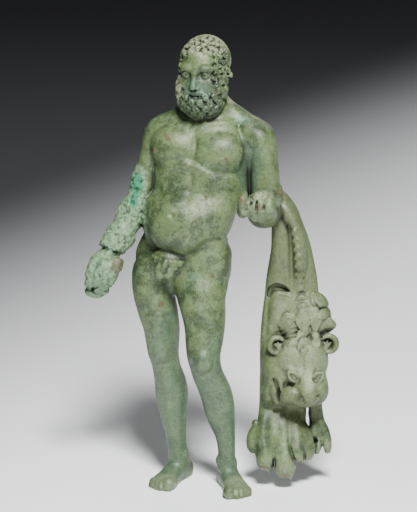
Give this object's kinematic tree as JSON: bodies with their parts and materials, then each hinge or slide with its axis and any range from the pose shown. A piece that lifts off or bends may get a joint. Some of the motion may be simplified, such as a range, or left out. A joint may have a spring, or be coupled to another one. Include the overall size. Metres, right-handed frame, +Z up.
{
  "type": "bronze hercules statuette",
  "caption": "Small bronze standing figure of a bearded, nude Hercules with a lion skin hanging from his left forearm; a free-standing ornament.",
  "frame": {"origin": "on the ground under the soles, below the middle of the statuette's box", "axes": "+Z up from the soles to the head, -Y the way the chest faces, +X towards the figure's left side and the lion skin"},
  "size_m": [0.127, 0.0596, 0.2289],
  "materials": {
    "bronze_patina": "semi-gloss olive-green patina with pale corrosion"
  },
  "bodies": {
    "root": {"hercules_figure": "bronze_patina"}
  },
  "joints": []
}
